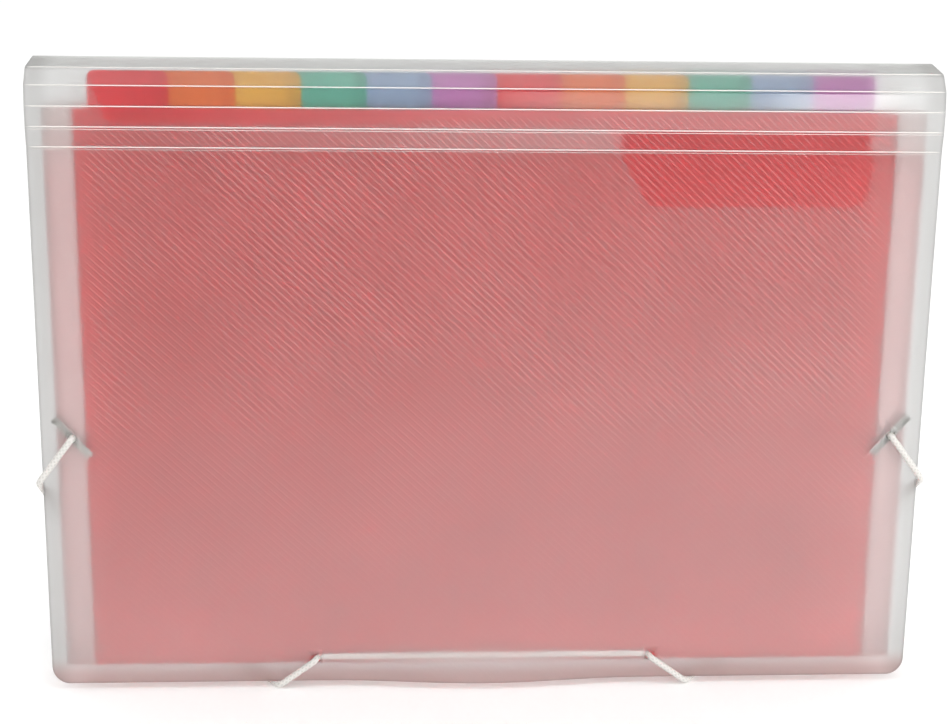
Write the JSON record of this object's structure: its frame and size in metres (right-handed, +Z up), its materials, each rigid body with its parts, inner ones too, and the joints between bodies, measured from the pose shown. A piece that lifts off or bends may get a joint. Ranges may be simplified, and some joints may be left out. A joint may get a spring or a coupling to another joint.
{
  "type": "accordion file folder",
  "caption": "Expanding file of frosted plastic sheet with coloured tabbed dividers, side gussets, a scored wrap-over cover and an elastic cord that holds it shut.",
  "frame": {"origin": "middle of the box round the closed folder, at the level that it stands on", "axes": "+X across the folder to the right as seen from its flap, +Y from the flap to the back, +Z up"},
  "size_m": [0.3398, 0.0238, 0.2418],
  "materials": {
    "frosted_cover": "frosted translucent polypropylene, finely ribbed",
    "clear_panel": "frosted translucent polypropylene",
    "gusset_film": "thin translucent film",
    "elastic_cord": "braided",
    "clip_metal": "nickel plated",
    "divider_red": "translucent polypropylene",
    "divider_orange": "translucent polypropylene",
    "divider_yellow": "translucent polypropylene",
    "divider_green": "translucent polypropylene",
    "divider_blue": "translucent polypropylene",
    "divider_purple": "translucent polypropylene"
  },
  "bodies": {
    "back": {"back_cover": "frosted_cover", "rear_panel": "clear_panel", "left_gusset_13": "gusset_film", "right_gusset_13": "gusset_film", "left_elastic_foot": "elastic_cord", "right_elastic_foot": "elastic_cord"},
    "cover": {"top_strip": "frosted_cover", "flap_strip_1": "frosted_cover", "flap_strip_2": "frosted_cover", "flap_strip_3": "frosted_cover", "flap_strip_4": "frosted_cover", "flap": "frosted_cover", "elastic_cord": "elastic_cord", "left_end_clip": "clip_metal", "right_end_clip": "clip_metal"},
    "divider_12": {"divider_12": "divider_purple", "left_gusset_12": "gusset_film", "right_gusset_12": "gusset_film"},
    "divider_11": {"divider_11": "divider_blue", "left_gusset_11": "gusset_film", "right_gusset_11": "gusset_film"},
    "divider_10": {"divider_10": "divider_green", "left_gusset_10": "gusset_film", "right_gusset_10": "gusset_film"},
    "divider_09": {"divider_09": "divider_yellow", "left_gusset_09": "gusset_film", "right_gusset_09": "gusset_film"},
    "divider_08": {"divider_08": "divider_orange", "left_gusset_08": "gusset_film", "right_gusset_08": "gusset_film"},
    "divider_07": {"divider_07": "divider_red", "left_gusset_07": "gusset_film", "right_gusset_07": "gusset_film"},
    "divider_06": {"divider_06": "divider_purple", "left_gusset_06": "gusset_film", "right_gusset_06": "gusset_film"},
    "divider_05": {"divider_05": "divider_blue", "left_gusset_05": "gusset_film", "right_gusset_05": "gusset_film"},
    "divider_04": {"divider_04": "divider_green", "left_gusset_04": "gusset_film", "right_gusset_04": "gusset_film"},
    "divider_03": {"divider_03": "divider_yellow", "left_gusset_03": "gusset_film", "right_gusset_03": "gusset_film"},
    "divider_02": {"divider_02": "divider_orange", "left_gusset_02": "gusset_film", "right_gusset_02": "gusset_film"},
    "divider_01": {"divider_01": "divider_red", "left_gusset_01": "gusset_film", "right_gusset_01": "gusset_film"},
    "front_panel": {"front_panel": "clear_panel"}
  },
  "joints": [
    {"name": "cover_fold", "type": "hinge", "parent": "back", "child": "cover", "pos_m": [0, 0.00907, 0.2414], "axis": [-1, 0, 0], "range_deg": [0, 210], "deforming": ["elastic_cord"]},
    {"name": "pocket_13", "type": "hinge", "parent": "back", "child": "divider_12", "pos_m": [0, 0.00743, 0.00862], "axis": [1, 0, 0], "range_deg": [0, 1.2], "deforming": ["left_gusset_13", "right_gusset_13"]},
    {"name": "pocket_12", "type": "hinge", "parent": "divider_12", "child": "divider_11", "pos_m": [0, 0.00637, 0.00862], "axis": [1, 0, 0], "range_deg": [0, 1.2], "deforming": ["left_gusset_12", "right_gusset_12"]},
    {"name": "pocket_11", "type": "hinge", "parent": "divider_11", "child": "divider_10", "pos_m": [0, 0.00532, 0.00862], "axis": [1, 0, 0], "range_deg": [0, 1.2], "deforming": ["left_gusset_11", "right_gusset_11"]},
    {"name": "pocket_10", "type": "hinge", "parent": "divider_10", "child": "divider_09", "pos_m": [0, 0.00428, 0.00862], "axis": [1, 0, 0], "range_deg": [0, 1.2], "deforming": ["left_gusset_10", "right_gusset_10"]},
    {"name": "pocket_09", "type": "hinge", "parent": "divider_09", "child": "divider_08", "pos_m": [0, 0.00323, 0.00862], "axis": [1, 0, 0], "range_deg": [0, 1.2], "deforming": ["left_gusset_09", "right_gusset_09"]},
    {"name": "pocket_08", "type": "hinge", "parent": "divider_08", "child": "divider_07", "pos_m": [0, 0.00217, 0.00862], "axis": [1, 0, 0], "range_deg": [0, 1.2], "deforming": ["left_gusset_08", "right_gusset_08"]},
    {"name": "pocket_07", "type": "hinge", "parent": "divider_07", "child": "divider_06", "pos_m": [0, 0.00112, 0.00862], "axis": [1, 0, 0], "range_deg": [0, 1.2], "deforming": ["left_gusset_07", "right_gusset_07"]},
    {"name": "pocket_06", "type": "hinge", "parent": "divider_06", "child": "divider_05", "pos_m": [0, 0.00007, 0.00862], "axis": [1, 0, 0], "range_deg": [0, 1.2], "deforming": ["left_gusset_06", "right_gusset_06"]},
    {"name": "pocket_05", "type": "hinge", "parent": "divider_05", "child": "divider_04", "pos_m": [0, -0.00097, 0.00862], "axis": [1, 0, 0], "range_deg": [0, 1.2], "deforming": ["left_gusset_05", "right_gusset_05"]},
    {"name": "pocket_04", "type": "hinge", "parent": "divider_04", "child": "divider_03", "pos_m": [0, -0.00202, 0.00862], "axis": [1, 0, 0], "range_deg": [0, 1.2], "deforming": ["left_gusset_04", "right_gusset_04"]},
    {"name": "pocket_03", "type": "hinge", "parent": "divider_03", "child": "divider_02", "pos_m": [0, -0.00308, 0.00862], "axis": [1, 0, 0], "range_deg": [0, 1.2], "deforming": ["left_gusset_03", "right_gusset_03"]},
    {"name": "pocket_02", "type": "hinge", "parent": "divider_02", "child": "divider_01", "pos_m": [0, -0.00413, 0.00862], "axis": [1, 0, 0], "range_deg": [0, 1.2], "deforming": ["left_gusset_02", "right_gusset_02"]},
    {"name": "pocket_01", "type": "hinge", "parent": "divider_01", "child": "front_panel", "pos_m": [0, -0.00517, 0.00867], "axis": [1, 0, 0], "range_deg": [0, 1.2], "deforming": ["left_gusset_01", "right_gusset_01"]}
  ],
  "couplings": [
    {"joint": "pocket_13", "follows": "cover_fold", "ratio": 0.005714},
    {"joint": "pocket_12", "follows": "cover_fold", "ratio": 0.005714},
    {"joint": "pocket_11", "follows": "cover_fold", "ratio": 0.005714},
    {"joint": "pocket_10", "follows": "cover_fold", "ratio": 0.005714},
    {"joint": "pocket_09", "follows": "cover_fold", "ratio": 0.005714},
    {"joint": "pocket_08", "follows": "cover_fold", "ratio": 0.005714},
    {"joint": "pocket_07", "follows": "cover_fold", "ratio": 0.005714},
    {"joint": "pocket_06", "follows": "cover_fold", "ratio": 0.005714},
    {"joint": "pocket_05", "follows": "cover_fold", "ratio": 0.005714},
    {"joint": "pocket_04", "follows": "cover_fold", "ratio": 0.005714},
    {"joint": "pocket_03", "follows": "cover_fold", "ratio": 0.005714},
    {"joint": "pocket_02", "follows": "cover_fold", "ratio": 0.005714},
    {"joint": "pocket_01", "follows": "cover_fold", "ratio": 0.005714}
  ]
}
